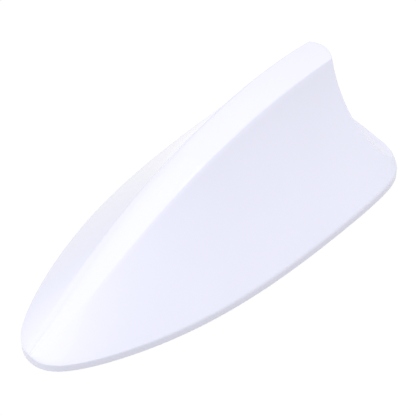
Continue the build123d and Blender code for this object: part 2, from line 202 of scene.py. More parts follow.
def frame_weights(stops):
    """Share of every frame at the given stops, nought at the nose and one at the tail."""
    stops = np.atleast_1d(np.asarray(stops, float))[:, None]
    order = len(FRAMES) - 1
    power = np.arange(order + 1)
    ways = np.array([comb(order, k) for k in power], float)
    return ways * stops ** power * (1 - stops) ** (order - power)


def along(line, stops):
    """Points of one line along the fin."""
    return frame_weights(stops) @ line


def lines_across(net, strips):
    """One line of curve controls for every step from the lowest row to the middle of the spine."""
    lines = []
    for first, last, steps, crowd in strips:
        for step in range(steps):
            lines.append(bezier(list(net[first:last + 1]), (step / steps) ** crowd))
    lines.append(net[strips[-1][1]])
    return lines


print("lines across one side:", len(lines_across(outer_net, STRIPS)))

# %% [markdown]
# The trailing face is hollow seen from the side and slightly bowed seen from above. On the real
# moulding it is a separate face of the tool, so it meets the sides in a crisp edge with a small
# rounding. Cutting the mesh with a Boolean would leave long thin faces there. Here each line simply
# stops where it reaches that face.

# %% The trailing face
# from the top down: distance ahead of the tail, height above the rim, half width and bow
TRAIL = np.array([
    (17.8, 62.0, 5.5, 2.8),
    (16.4, 34.0, 9.0, 2.8),
    (15.3, 11.3, 22.0, 1.4),
    (-0.3, 5.2, 33.0, 0.3),
])
TRAIL_SAMPLES = 300
SEARCH_FROM = 0.5
SEARCH_STOPS = 401
HALVINGS = 30
trail_steps, trail_heights, trail_halves, trail_bows = np.array(
    [bezier(list(TRAIL * MM), 1 - i / TRAIL_SAMPLES) for i in range(TRAIL_SAMPLES + 1)]
).T


def trail_x(y, z, back_off):
    """Place of the trailing face along the fin, moved forward by a wall where asked."""
    height = z - RIM_Z
    half = np.interp(height, trail_heights, trail_halves)
    bow = np.interp(height, trail_heights, trail_bows)
    return TAIL_X - np.interp(height, trail_heights, trail_steps) + bow * (1 - (y / half) ** 2) - back_off


def past_trail(line, stops, back_off):
    """How far the points of a line lie behind the trailing face."""
    points = along(line, stops)
    return points[:, 0] - trail_x(points[:, 1], points[:, 2], back_off)


def last_stop(line, back_off):
    """The stop at which a line meets the trailing face, or None where it stays clear of it."""
    stops = np.linspace(SEARCH_FROM, 1, SEARCH_STOPS)
    behind = past_trail(line, stops, back_off) > 0
    if not behind.any():
        return None
    first = int(np.argmax(behind))
    low, high = stops[first - 1], stops[first]
    for _ in range(HALVINGS):
        middle = (low + high) / 2
        low, high = (low, middle) if past_trail(line, middle, back_off)[0] > 0 else (middle, high)
    return low


print("trailing face starts", round(trail_heights[0] / MM, 1), "mm over the rim")

# %% [markdown]
# A ring goes once round the fin at one level: along one side from the nose, over the rounded edge,
# across the trailing face and back along the other side. All rings have the same number of points,
# so neighbouring rings join in clean quads. Rings below the trailing face run on round the tail
# instead.

# %% Rings round the fin
SIDE_STEPS = 150
ROUND_STEPS = 6
REAR_STEPS = 12
EDGE_RADIUS = 0.8 * MM
LEAST_RADIUS = 0.02 * MM
ROOM_PER_RADIUS = 3
FOLD_GAP = 0.004 * MM
SPEED_STEP = 0.01


def edge_radii(edges, radius):
    """Radius of the rear edge at every ring, smaller towards the foot of the trailing face."""
    room = edges[:, 2] - RIM_Z - trail_heights[0]
    return np.clip(room / ROOM_PER_RADIUS, LEAST_RADIUS, radius)


def inside_edge(edges, radii, back_off):
    """Points of the trailing face that lie one radius inside its edge."""
    run = np.gradient(edges[:, 1:], axis=0)
    run[-1] = (-1, 0)
    inward = np.stack([-run[:, 1], run[:, 0]], axis=1)
    inward /= np.linalg.norm(inward, axis=1)[:, None]
    y, z = (edges[:, 1:] + inward * radii[:, None]).T
    y = np.maximum(y, 0)
    z = np.minimum.accumulate(z[::-1] - FOLD_GAP * np.arange(len(z)))[::-1]
    return np.stack([trail_x(y, z, back_off), y, z], axis=1)


def whole_ring(half):
    """A half ring on the +Y side, joined to its mirror image."""
    return np.concatenate([half, half[-2:0:-1] * (1, -1, 1)])


def ring_stops(line, stop, radius):
    """Stops one radius before and after the rear edge."""
    speed = np.linalg.norm(along(line, stop)[0] - along(line, stop - SPEED_STEP)[0]) / SPEED_STEP
    return stop - radius / speed, stop + radius / speed


def free_ring(line, corner, radius):
    """A ring that runs on round the tail."""
    start, end = ring_stops(line, corner, radius)
    side = along(line, np.linspace(0, start, SIDE_STEPS + 1))
    bend = along(line, np.linspace(start, end, ROUND_STEPS + 1)[1:])
    rear = along(line, np.linspace(end, 1, REAR_STEPS + 1)[1:])
    return whole_ring(np.concatenate([side, bend, rear]))


def cut_ring(line, stop, edge, inner, radius, back_off):
    """A ring that crosses the trailing face."""
    start, _ = ring_stops(line, stop, radius)
    side = along(line, np.linspace(0, start, SIDE_STEPS + 1))
    bend = [bezier([side[-1], edge, inner], i / ROUND_STEPS) for i in range(1, ROUND_STEPS + 1)]
    y = np.linspace(inner[1], 0, REAR_STEPS + 1)[1:]
    rear = np.stack([trail_x(y, inner[2], back_off), y, np.full(REAR_STEPS, inner[2])], axis=1)
    return whole_ring(np.concatenate([side, bend, rear]))


print("points in a ring:", 2 * (SIDE_STEPS + ROUND_STEPS + REAR_STEPS))

# %% [markdown]
# Every line across the section now gives one ring. The lowest line that meets the trailing face
# marks the corner of the tail, and the rings below it put their bend at the same stop, so the edge
# runs on down to the rim.

# %% All rings of a skin
def skin_rings(net, strips, back_off, radius):
    """Rings from the lowest line to the middle of the spine, and the stop of the tail corner."""
    lines = lines_across(net, strips)
    stops = [last_stop(line, back_off) for line in lines]
    first = next(i for i, stop in enumerate(stops) if stop is not None)
    rings = [free_ring(line, stops[first], radius) for line in lines[:first]]
    edges = np.array([along(line, stop)[0] for line, stop in zip(lines[first:], stops[first:])])
    radii = edge_radii(edges, radius)
    inner = inside_edge(edges, radii, back_off)
    for row in zip(lines[first:], stops[first:], edges, inner, radii):
        rings.append(cut_ring(*row, back_off))
    return rings, stops[first]


outer_rings, tail_corner = skin_rings(outer_net, STRIPS, 0.0, EDGE_RADIUS)
print("rings:", len(outer_rings), "points in each:", len(outer_rings[0]))
print("tail corner at", round(tail_corner, 3))

# %% [markdown]
# Rings become faces next. Neighbouring rings are joined by quads, then corners that fall together
# on the spine are merged, and all faces are turned outwards. A mesh that is printed or exported has
# to be closed.

# %% Closed meshes
MERGE_DISTANCE = 1e-7


def clean(mesh):
    """Joins doubled corners, drops empty faces and turns all faces outwards."""
    work = bmesh.new()
    work.from_mesh(mesh)
    bmesh.ops.remove_doubles(work, verts=work.verts, dist=MERGE_DISTANCE)
    bmesh.ops.dissolve_degenerate(work, edges=work.edges, dist=MERGE_DISTANCE)
    bmesh.ops.recalc_face_normals(work, faces=work.faces)
    work.to_mesh(mesh)
    work.free()


def solid_mesh(name, corners, quads):
    """A clean closed mesh from corners and faces."""
    mesh = bpy.data.meshes.new(name)
    mesh.from_pydata(corners, [], quads)
    clean(mesh)
    return mesh


def closed_mesh(name, rings):
    """Quads between neighbouring rings; the first and last ring close up on themselves."""
    count = len(rings[0])
    quads = []
    for low in range(0, count * (len(rings) - 1), count):
        for i in range(count):
            j = (i + 1) % count
            quads.append((low + i, low + j, low + count + j, low + count + i))
    return solid_mesh(name, np.concatenate(rings).tolist(), quads)


print("corners closer than", MERGE_DISTANCE, "m are merged")

# %% [markdown]
# The cover is a hollow moulding about two millimetres thick. Below, a recess takes the floor plate,
# and a ledge above it presses on the seal. The same ring recipe makes these inner walls, so
# outside, rim, ledge and hollow join into one closed mesh with no modifier.

# %% The cover
LEDGE_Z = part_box("base_seal")[1].z
HOLLOW_STRIPS = [(0, 1, 1, 1.0), (1, 3, 3, 1.0), (3, 6, 16, 1.3), (6, 8, 4, 1.0), (8, 10, 4, 1.0)]
INNER_RADIUS = 0.4 * MM
SHARP_ANGLE = radians(35)


def plan_line(inset, z):
    """Curve controls of the plan's +Y side, drawn in by a distance, at one level."""
    half = FIN_WIDTH / 2 - inset
    return np.array([(lerp(NOSE_X + inset, TAIL_X - inset, row[0]), row[1] * half, z) for row in FRAMES])


def flat_ring(inset, z):
    """A ring that follows the plan at one level."""
    return free_ring(plan_line(inset, z), tail_corner, EDGE_RADIUS)


recess_rings = [flat_ring(RIM_WALL, RIM_Z), flat_ring(RIM_WALL, LEDGE_Z)]
hollow_rings, _ = skin_rings(control_net(LEDGE_Z, 1), HOLLOW_STRIPS, WALL, INNER_RADIUS)
cover_rings = outer_rings[::-1] + recess_rings + hollow_rings
fin_shell = mesh_object("fin_shell", closed_mesh("fin_shell", cover_rings))
fin_shell.data.shade_smooth()
fin_shell.data.set_sharp_from_angle(angle=SHARP_ANGLE)
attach(fin_shell, "root")
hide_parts("fin_cover")
print("cover:", triangles(fin_shell), "triangles")

# %% [markdown]
# Finishes are node materials. Four helpers cover most of them: a noise fixed to the piece, a colour
# that drifts between two close tones, a roughness that drifts with it, and a relief for grain or
# ripple.

# %% Material helpers
def new_material(name):
    """A material with the Principled shader that Blender starts it with."""
    material = bpy.data.materials.new(name)
    material.use_nodes = True
    shader = material.node_tree.nodes["Principled BSDF"]
    return material, material.node_tree, shader


def object_noise(tree, scale, detail=2.0, stretch=(1, 1, 1)):
    """A noise pattern fixed to the piece, with its scale in features per metre, drawn out where asked."""
    place = tree.nodes.new("ShaderNodeTexCoord")
    size = tree.nodes.new("ShaderNodeMapping")
    size.inputs["Scale"].default_value = stretch
    noise = tree.nodes.new("ShaderNodeTexNoise")
    noise.inputs["Scale"].default_value = scale
    noise.inputs["Detail"].default_value = detail
    tree.links.new(place.outputs["Object"], size.inputs["Vector"])
    tree.links.new(size.outputs["Vector"], noise.inputs["Vector"])
    return noise.outputs["Fac"]


def vary_colour(tree, shader, pattern, dark, light, low=0.3, high=0.7):
    """Base colour that drifts between two close tones."""
    ramp = tree.nodes.new("ShaderNodeValToRGB")
    ramp.color_ramp.elements[0].position = low
    ramp.color_ramp.elements[0].color = (*dark, 1)
    ramp.color_ramp.elements[1].position = high
    ramp.color_ramp.elements[1].color = (*light, 1)
    tree.links.new(pattern, ramp.inputs["Fac"])
    tree.links.new(ramp.outputs["Color"], shader.inputs["Base Color"])


def vary_roughness(tree, shader, pattern, low, high):
    """Roughness that drifts between two values."""
    spread = tree.nodes.new("ShaderNodeMapRange")
    spread.inputs["To Min"].default_value = low
    spread.inputs["To Max"].default_value = high
    tree.links.new(pattern, spread.inputs["Value"])
    tree.links.new(spread.outputs["Result"], shader.inputs["Roughness"])


def add_bump(tree, shader, pattern, height, strength=1.0):
    """Relief of the given height in metres."""
    bump = tree.nodes.new("ShaderNodeBump")
    bump.inputs["Strength"].default_value = strength
    bump.inputs["Distance"].default_value = height
    tree.links.new(pattern, bump.inputs["Height"])
    tree.links.new(bump.outputs["Normal"], shader.inputs["Normal"])


print("materials before any finish is made:", len(bpy.data.materials))

# %% [markdown]
# The finish of the cover is a glossy moulded plastic, white with a trace of lavender. A smooth
# plastic still isn't perfect: the mould leaves a very shallow ripple, and handling makes the gloss
# vary a little.

# %% Glossy white plastic
DRIFT_SCALE = 28
RIPPLE_SCALE = 420
RIPPLE_HEIGHT = 1e-6


def glossy_white():
    """Polished white plastic for the cover."""
    material, tree, shader = new_material("fin_white")
    drift = object_noise(tree, DRIFT_SCALE, 1.5)
    vary_colour(tree, shader, drift, (0.802, 0.806, 0.938), (0.816, 0.820, 0.952))
    vary_roughness(tree, shader, drift, 0.07, 0.11)
    add_bump(tree, shader, object_noise(tree, RIPPLE_SCALE, 1.0), RIPPLE_HEIGHT, 0.5)
    shader.inputs["IOR"].default_value = 1.48
    return material


fin_white = glossy_white()
fin_shell.data.materials.append(fin_white)
print("finish of the cover:", fin_white.name)

# %% [markdown]
# Three posts inside the cover take the screws that come up through the floor. On the real moulding
# they are part of the cover. A lathe makes such a post: a closed profile of radius and height
# pairs, repeated round an axis. A ray sent up into the hollow finds how tall each side of a post
# has to be, so its top follows the slanting wall.

# %% Screw posts
ROUND_SIDES = 48
SCREW_PLACES = [(-62.0 * MM, 0.0), (62.5 * MM, 22.0 * MM), (62.5 * MM, -22.0 * MM)]
POST_RADIUS = 3.6 * MM
PILOT_RADIUS = 1.6 * MM
POST_BITE = 0.6 * MM
RAY_START = 1.5 * MM
PLATE_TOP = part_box("base_seal")[0].z


def lathe_mesh(name, turnings):
    """Closed turned rings in one mesh; a turning is its centre and a closed profile of (radius, height)."""
    corners = []
    quads = []
    for centre, profile in turnings:
        first = len(corners)
        count = len(profile)
        for i in range(ROUND_SIDES):
            angle = 2 * pi * i / ROUND_SIDES
            corners += [(centre[0] + r * cos(angle), centre[1] + r * sin(angle), z) for r, z in profile]
            near = first + i * count
            far = first + (i + 1) % ROUND_SIDES * count
            for j in range(count):
                k = (j + 1) % count
                quads.append((near + j, near + k, far + k, far + j))
    return solid_mesh(name, corners, quads)


def ceiling(x, y):
    """Height of the hollow above a place on the floor."""
    above = Vector((x, y, LEDGE_Z + RAY_START))
    return fin_shell.ray_cast(above, Vector((0, 0, 1)), depsgraph=bpy.context.evaluated_depsgraph_get())[1].z


def screw_posts():
    """The three posts, each as tall as the hollow over it."""
    tall = PLATE_TOP + FIN_HEIGHT
    profile = [(PILOT_RADIUS, PLATE_TOP), (POST_RADIUS, PLATE_TOP), (POST_RADIUS, tall), (PILOT_RADIUS, tall)]
    mesh = lathe_mesh("screw_posts", [(place, profile) for place in SCREW_PLACES])
    for corner in mesh.vertices:
        if corner.co.z > lerp(PLATE_TOP, tall, 0.5):
            corner.co.z = ceiling(corner.co.x, corner.co.y) + POST_BITE
    return mesh_object("screw_posts", mesh)


posts = screw_posts()
posts.data.materials.append(fin_white)
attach(posts, "root")
print("posts:", triangles(posts), "triangles")

# %% [markdown]
# The fin sticks to the roof with a pad of closed cell foam, die cut from a sheet with holes for the
# screw heads and the cable. A flat filled curve is the natural way to make it: Blender fills
# between the loops, gives it thickness and rounds its edges. It is then turned into a plain mesh.

# %% Foam pad
PAD_INSET = RIM_WALL + 1.25 * MM
PAD_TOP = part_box("adhesive_pad")[1].z
PAD_EDGE = 0.25 * MM
PAD_SHARP_ANGLE = radians(50)
EDGE_CUTS = 3
OUTLINE_STEPS = 120
HOLE_STEPS = 40
HEAD_HOLE = 3.8 * MM
CABLE_HOLE = 7.25 * MM
CABLE_PLACE = (-45.5 * MM, 0.0)


def pad_loops():
    """The pad's outline and its holes, drawn in by the width of the rounding."""
    half = along(plan_line(PAD_INSET + PAD_EDGE, 0), np.linspace(0, 1, OUTLINE_STEPS + 1))
    loops = [whole_ring(half)[:, :2]]
    for (x, y), radius in [(place, HEAD_HOLE) for place in SCREW_PLACES] + [(CABLE_PLACE, CABLE_HOLE)]:
        turn = np.linspace(0, 2 * pi, HOLE_STEPS, endpoint=False)
        wide = radius + PAD_EDGE
        loops.append(np.stack([x + wide * np.cos(turn), y + wide * np.sin(turn)], axis=1))
    return loops


def plain_mesh(thing):
    """The finished mesh of an object with modifiers or of a curve, which is then removed."""
    mesh = bpy.data.meshes.new_from_object(thing.evaluated_get(bpy.context.evaluated_depsgraph_get()))
    bpy.data.objects.remove(thing)
    return mesh


def flat_cut(name, loops, thickness, edge):
    """A mesh of a flat sheet between loops, with rounded edges, standing on the ground."""
    data = bpy.data.curves.new(name, "CURVE")
    data.dimensions = "2D"
    data.fill_mode = "BOTH"
    data.extrude = thickness / 2 - edge
    data.bevel_depth = edge
    data.bevel_resolution = EDGE_CUTS
    for loop in loops:
        spline = data.splines.new("POLY")
        spline.points.add(len(loop) - 1)
        spline.use_cyclic_u = True
        for point, (x, y) in zip(spline.points, loop):
            point.co = (x, y, 0, 1)
    sheet = mesh_object(name, data)
    mesh = plain_mesh(sheet)
    mesh.transform(Matrix.Translation((0, 0, thickness / 2)))
    clean(mesh)
    return mesh_object(name, mesh)


pad = flat_cut("foam_pad", pad_loops(), PAD_TOP, PAD_EDGE)
pad.data.shade_smooth()
pad.data.set_sharp_from_angle(angle=PAD_SHARP_ANGLE)
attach(pad, "root")
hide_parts("adhesive_pad")
print("pad:", triangles(pad), "triangles")

# %% [markdown]
# A rubber grommet lines the cable hole. Rubber parts never have knife edges, so its profile turns
# every lip in a few short steps before the lathe spins it. The groove between its lips holds the
# edge of the floor plate.

# %% Cable grommet
GROMMET_LOW, GROMMET_HIGH = (corner.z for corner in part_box("cable_grommet"))
BORE = 2.6 * MM
NECK = 4.45 * MM
FLANGE = 6.25 * MM
LIP_TURN = 0.35 * MM
MOST_SHARE = 0.45
GROOVE_LOW = PAD_TOP
GROOVE_HIGH = PLATE_TOP


def rounded(profile, turn, steps=4):
    """A closed profile with every corner drawn in as a small curve."""
    points = [np.array(p) for p in profile]
    smooth = []
    for i, corner in enumerate(points):
        before = points[i - 1] - corner
        after = points[(i + 1) % len(points)] - corner
        start = corner + before * min(turn / np.linalg.norm(before), MOST_SHARE)
        end = corner + after * min(turn / np.linalg.norm(after), MOST_SHARE)
        smooth += [bezier([start, corner, end], k / steps) for k in range(steps + 1)]
    return smooth


grommet_profile = [
    (BORE, GROMMET_LOW),
    (FLANGE, GROMMET_LOW),
    (FLANGE, GROOVE_LOW),
    (NECK, GROOVE_LOW),
    (NECK, GROOVE_HIGH),
    (FLANGE, GROOVE_HIGH),
    (NECK, GROMMET_HIGH),
    (BORE, GROMMET_HIGH),
]
grommet = mesh_object("grommet", lathe_mesh("grommet", [(CABLE_PLACE, rounded(grommet_profile, LIP_TURN))]))
grommet.data.shade_smooth()
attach(grommet, "root")
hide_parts("cable_grommet")
print("grommet:", triangles(grommet), "triangles")

# %% [markdown]
# Six screws hold the fin together, in three sizes. They repeat, so Geometry Nodes make them: one
# tree builds a screw with a tapered head, a cross recess and a thread, and sets a copy on every
# point it is given. Named inputs carry the sizes, in millimetres, and each copy is scaled to
# metres, because a Boolean cut is more exact on shapes that aren't tiny. The points are the seats
# of the heads, taken from the solid model.

# %% Helpers for the tree
def add_node(tree, kind, **values):
    """A node with some of its inputs set by name."""
    node = tree.nodes.new(kind)
    for name, value in values.items():
        node.inputs[name.replace("_", " ")].default_value = value
    return node


def lift(tree, shape, height, turn=(0, 0, 0), stretch=(1, 1, 1)):
    """Moves a shape up by a height that another socket gives, after stretching and turning it."""
    place = tree.nodes.new("ShaderNodeCombineXYZ")
    move = add_node(tree, "GeometryNodeTransform", Rotation=turn, Scale=stretch)
    tree.links.new(height, place.inputs["Z"])
    tree.links.new(shape, move.inputs["Geometry"])
    tree.links.new(place.outputs["Vector"], move.inputs["Translation"])
    return move.outputs["Geometry"]


def scaled(tree, socket, factor):
    """A number multiplied by a factor."""
    times = tree.nodes.new("ShaderNodeMath")
    times.operation = "MULTIPLY"
    times.inputs[1].default_value = factor
    tree.links.new(socket, times.inputs[0])
    return times.outputs[0]


print("node trees before the screws:", len(bpy.data.node_groups))

# %% [markdown]
# The head is a short cone, narrower at its outer face, and two bars cut the cross for the driver
# into it. One slit is a little deeper than the other: two floors at the same depth would lie on
# each other, and the Boolean would leave loose faces there.

# %% Head of a screw
CROWN_SHARE = 0.72
SLIT_LENGTH = 0.95
SLIT_WIDTH = 0.24
SECOND_DEPTH = 1.2
HEAD_SIDES = 32


def screw_head(tree, sizes):
    """Tapered head below its seat, with a cross cut into it whose two slits differ a little in depth."""
    down = scaled(tree, sizes["Head height"], -1.0)
    cone = add_node(tree, "GeometryNodeMeshCone", Vertices=HEAD_SIDES)
    tree.links.new(sizes["Head radius"], cone.inputs["Radius Top"])
    tree.links.new(scaled(tree, sizes["Head radius"], CROWN_SHARE), cone.inputs["Radius Bottom"])
    tree.links.new(sizes["Head height"], cone.inputs["Depth"])
    arm = tree.nodes.new("ShaderNodeCombineXYZ")
    tree.links.new(scaled(tree, sizes["Head radius"], SLIT_LENGTH), arm.inputs["X"])
    tree.links.new(scaled(tree, sizes["Head radius"], SLIT_WIDTH), arm.inputs["Y"])
    tree.links.new(sizes["Head height"], arm.inputs["Z"])
    bar = tree.nodes.new("GeometryNodeMeshCube")
    tree.links.new(arm.outputs["Vector"], bar.inputs["Size"])
    cut = tree.nodes.new("GeometryNodeMeshBoolean")
    cut.operation = "DIFFERENCE"
    tree.links.new(lift(tree, cone.outputs["Mesh"], down), cut.inputs["Mesh 1"])
    for turn, deep in ((0, 1.0), (pi / 2, SECOND_DEPTH)):
        slit = lift(tree, bar.outputs["Mesh"], down, (0, 0, turn), (1, 1, deep))
        tree.links.new(slit, cut.inputs["Mesh 2"])
    return cut.outputs["Mesh"]


print("a head has", HEAD_SIDES, "sides")

# %% [markdown]
# The thread is a small round profile swept along a spiral on the core. A Screw modifier could do
# that too, but here the number of turns and the reach stay inputs of the same tree.

# %% Shank and thread
CORE_SHARE = 0.84
RIDGE_SHARE = 0.15
THREAD_RUN = 0.88
THREAD_START = 0.06
CORE_SIDES = 24
TURN_STEPS = 18
RIDGE_SIDES = 6


def screw_shank(tree, sizes):
    """Core of the shank and the thread wound on it."""
    core = scaled(tree, sizes["Shank radius"], CORE_SHARE)
    rod = add_node(tree, "GeometryNodeMeshCylinder", Vertices=CORE_SIDES)
    tree.links.new(core, rod.inputs["Radius"])
    tree.links.new(sizes["Reach"], rod.inputs["Depth"])
    winding = add_node(tree, "GeometryNodeCurveSpiral", Resolution=TURN_STEPS)
    for name in ("Start Radius", "End Radius"):
        tree.links.new(core, winding.inputs[name])
    tree.links.new(sizes["Turns"], winding.inputs["Rotations"])
    tree.links.new(scaled(tree, sizes["Reach"], THREAD_RUN), winding.inputs["Height"])
    ridge = add_node(tree, "GeometryNodeCurvePrimitiveCircle", Resolution=RIDGE_SIDES)
    tree.links.new(scaled(tree, sizes["Shank radius"], RIDGE_SHARE), ridge.inputs["Radius"])
    sweep = add_node(tree, "GeometryNodeCurveToMesh", Fill_Caps=True)
    tree.links.new(winding.outputs["Curve"], sweep.inputs["Curve"])
    tree.links.new(ridge.outputs["Curve"], sweep.inputs["Profile Curve"])
    upright = lift(tree, rod.outputs["Mesh"], scaled(tree, sizes["Reach"], 0.5))
    return upright, lift(tree, sweep.outputs["Mesh"], scaled(tree, sizes["Reach"], THREAD_START))


print("a thread has", TURN_STEPS, "steps in a turn")

# %% [markdown]
# The whole tree joins head, core and thread, sets a copy on each point, makes the copies real and
# gives them their finish. Copies that stay instances would be lost in an export.

# %% The screw tree
SCREW_SIZES = ("Shank radius", "Reach", "Head radius", "Head height", "Turns")


def screw_tree(name, turn):
    """The tree that sets a screw on every point, pointing up, or turned over."""
    tree = bpy.data.node_groups.new(name, "GeometryNodeTree")
    sockets = [("Geometry", "NodeSocketGeometry"), ("Material", "NodeSocketMaterial")]
    sockets += [(size, "NodeSocketFloat") for size in SCREW_SIZES]
    for label, kind in sockets:
        tree.interface.new_socket(label, in_out="INPUT", socket_type=kind)
    tree.interface.new_socket("Geometry", in_out="OUTPUT", socket_type="NodeSocketGeometry")
    source = tree.nodes.new("NodeGroupInput")
    target = tree.nodes.new("NodeGroupOutput")
    join = tree.nodes.new("GeometryNodeJoinGeometry")
    for shape in (screw_head(tree, source.outputs), *screw_shank(tree, source.outputs)):
        tree.links.new(shape, join.inputs["Geometry"])
    whole = add_node(tree, "GeometryNodeTransform", Rotation=turn)
    copies = add_node(tree, "GeometryNodeInstanceOnPoints", Scale=(MM, MM, MM))
    real = tree.nodes.new("GeometryNodeRealizeInstances")
    paint = tree.nodes.new("GeometryNodeSetMaterial")
    tree.links.new(join.outputs["Geometry"], whole.inputs["Geometry"])
    tree.links.new(source.outputs["Geometry"], copies.inputs["Points"])
    tree.links.new(whole.outputs["Geometry"], copies.inputs["Instance"])
    tree.links.new(copies.outputs["Instances"], real.inputs["Geometry"])
    tree.links.new(real.outputs["Geometry"], paint.inputs["Geometry"])
    tree.links.new(source.outputs["Material"], paint.inputs["Material"])
    tree.links.new(paint.outputs["Geometry"], target.inputs["Geometry"])
    return tree


print("sizes of a screw:", ", ".join(SCREW_SIZES))

# %% [markdown]
# Zinc plated steel is bright but never a mirror: the plating is slightly cloudy. The same short
# recipe, two tones, a range of gloss and a fine relief, makes most of the materials of this lesson.

# %% Plated steel
def finish(name, dark, light, grain, gloss, relief=0.0, metal=0.0, stretch=(1, 1, 1)):
    """Two tones, a grain in features per metre, a range of roughness and a relief in metres."""
    material, tree, shader = new_material(name)
    pattern = object_noise(tree, grain, 3.0, stretch)
    vary_colour(tree, shader, pattern, dark, light)
    vary_roughness(tree, shader, pattern, *gloss)
    add_bump(tree, shader, pattern, relief)
    shader.inputs["Metallic"].default_value = metal
    return material


screw_steel = finish("screw_steel", (0.50, 0.51, 0.53), (0.64, 0.64, 0.65), 900, (0.24, 0.40), 4e-6, 1.0)
print("finish of the screws:", screw_steel.name)

# %% [markdown]
# Each kind of screw takes the place of one node of the solid model. The cover screws point up from
# below, the others point down, and all of them end as plain meshes without a modifier.

# %% Screws
UP = (0, 0, 0)
DOWN = (pi, 0, 0)
BOARD_PLACES = [(-25.5 * MM, -10 * MM), (32.5 * MM, 10 * MM)]


def set_screws(node, seats, turn, **sizes):
    """Screws of one size on their seats, in place of a node of the solid model."""
    points = bpy.data.meshes.new(node)
    points.from_pydata(seats, [], [])
    holder = mesh_object(node + "_points", points)
    tree = screw_tree(node + "_tree", turn)
    build = holder.modifiers.new("screws", "NODES")
    build.node_group = tree
    sizes = {key.replace("_", " "): value for key, value in sizes.items()}
    for item in tree.interface.items_tree:
        if item.in_out == "INPUT" and item.name != "Geometry":
            build[item.identifier] = screw_steel if item.name == "Material" else sizes[item.name]
    screws = mesh_object(node + "_made", plain_mesh(holder))
    clean(screws.data)
    screws.data.shade_smooth()
    screws.data.set_sharp_from_angle(angle=SHARP_ANGLE)
    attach(screws, "root")
    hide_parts(node)
    print(node, triangles(screws), "triangles")


BOARD_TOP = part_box("circuit_board")[1].z
hat_low, hat_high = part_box("hat_screw")
HAT_HEAD = 1.6
set_screws("cover_screws", [(x, y, PAD_TOP) for x, y in SCREW_PLACES], UP,
           Shank_radius=1.5, Reach=9.5, Head_radius=2.8, Head_height=0.9, Turns=7.0)
set_screws("board_screws", [(x, y, BOARD_TOP) for x, y in BOARD_PLACES], DOWN,
           Shank_radius=1.2, Reach=5.6, Head_radius=2.2, Head_height=1.5, Turns=5.0)
set_screws("hat_screw", [((hat_low.x + hat_high.x) / 2, 0, hat_high.z - HAT_HEAD * MM)], DOWN,
           Shank_radius=1.25, Reach=6.5, Head_radius=2.3, Head_height=HAT_HEAD, Turns=6.0)

# %% [markdown]
# Foam is a sponge of tiny closed cells. A Voronoi pattern gives such cells, and its distances also
# serve as relief.

# %% Foam finish
CELL_SCALE = 2600


def foam():
    """Closed cell foam: small dark cells in a softer skin."""
    material, tree, shader = new_material("pad_foam")
    place = tree.nodes.new("ShaderNodeTexCoord")
    cells = tree.nodes.new("ShaderNodeTexVoronoi")
    cells.inputs["Scale"].default_value = CELL_SCALE
    tree.links.new(place.outputs["Object"], cells.inputs["Vector"])
    depth = cells.outputs["Distance"]
    vary_colour(tree, shader, depth, (0.030, 0.030, 0.033), (0.062, 0.062, 0.066), 0.1, 0.7)
    vary_roughness(tree, shader, depth, 0.85, 0.98)
    add_bump(tree, shader, depth, 6e-5, 0.8)
    return material


pad.data.materials.append(foam())
print("finish of the pad:", pad.data.materials[0].name)

# %% [markdown]
# A circuit board is lacquered green, and its copper tracks show through as paler lines that stand a
# little proud. The joints of a Brick Texture make such straight tracks.

# %% Board lacquer
def solder_mask():
    """Green board lacquer with copper tracks that show through as paler lines."""
    material, tree, shader = new_material("board_green")
    place = tree.nodes.new("ShaderNodeTexCoord")
    tracks = tree.nodes.new("ShaderNodeTexBrick")
    tracks.offset = 0.37
    tracks.inputs["Scale"].default_value = 1.0
    tracks.inputs["Brick Width"].default_value = 9.0 * MM
    tracks.inputs["Row Height"].default_value = 1.6 * MM
    tracks.inputs["Mortar Size"].default_value = 0.14 * MM
    tracks.inputs["Mortar Smooth"].default_value = 0.1
    tree.links.new(place.outputs["Object"], tracks.inputs["Vector"])
    line = tracks.outputs["Fac"]
    vary_colour(tree, shader, line, (0.012, 0.110, 0.048), (0.040, 0.240, 0.110))
    vary_roughness(tree, shader, line, 0.34, 0.22)
    add_bump(tree, shader, line, 2e-5, 0.4)
    return material


board_green = solder_mask()
print("finish of the board:", board_green.name)

# %% [markdown]
# Small capacitors and resistors are ceramic blocks with a tinned cap at each end. The distance from
# the middle of the row along X tells cap from body, so one material serves the whole row.

# %% Tinned chips
CAP_START = 0.30
CAP_FULL = 0.32
CERAMIC_SCALE = 6000
TIN = (0.70, 0.70, 0.68)


def tinned_chip(name, node, dark, light):
    """Ceramic body with a bright tinned cap at both ends along X."""
    material, tree, shader = new_material(name)
    low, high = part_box(node)
    place = tree.nodes.new("ShaderNodeTexCoord")
    centre = tree.nodes.new("ShaderNodeMapping")
    centre.inputs["Location"].default_value = (-(low.x + high.x) / 2, 0, 0)
    split = tree.nodes.new("ShaderNodeSeparateXYZ")
    away = tree.nodes.new("ShaderNodeMath")
    away.operation = "ABSOLUTE"
    cap = tree.nodes.new("ShaderNodeMapRange")
    cap.inputs["From Min"].default_value = (high.x - low.x) * CAP_START
    cap.inputs["From Max"].default_value = (high.x - low.x) * CAP_FULL
    tree.links.new(place.outputs["Object"], centre.inputs["Vector"])
    tree.links.new(centre.outputs["Vector"], split.inputs["Vector"])
    tree.links.new(split.outputs["X"], away.inputs[0])
    tree.links.new(away.outputs[0], cap.inputs["Value"])
    vary_colour(tree, shader, cap.outputs["Result"], dark, light)
    vary_roughness(tree, shader, cap.outputs["Result"], 0.45, 0.28)
    tree.links.new(cap.outputs["Result"], shader.inputs["Metallic"])
    add_bump(tree, shader, object_noise(tree, CERAMIC_SCALE), 6e-6)
    return material


capacitor_tan = tinned_chip("capacitor_tan", "chip_capacitors", (0.34, 0.20, 0.10), TIN)
resistor_black = tinned_chip("resistor_black", "chip_resistors", (0.016, 0.016, 0.019), TIN)
print("finishes of the chips:", capacitor_tan.name, resistor_black.name)

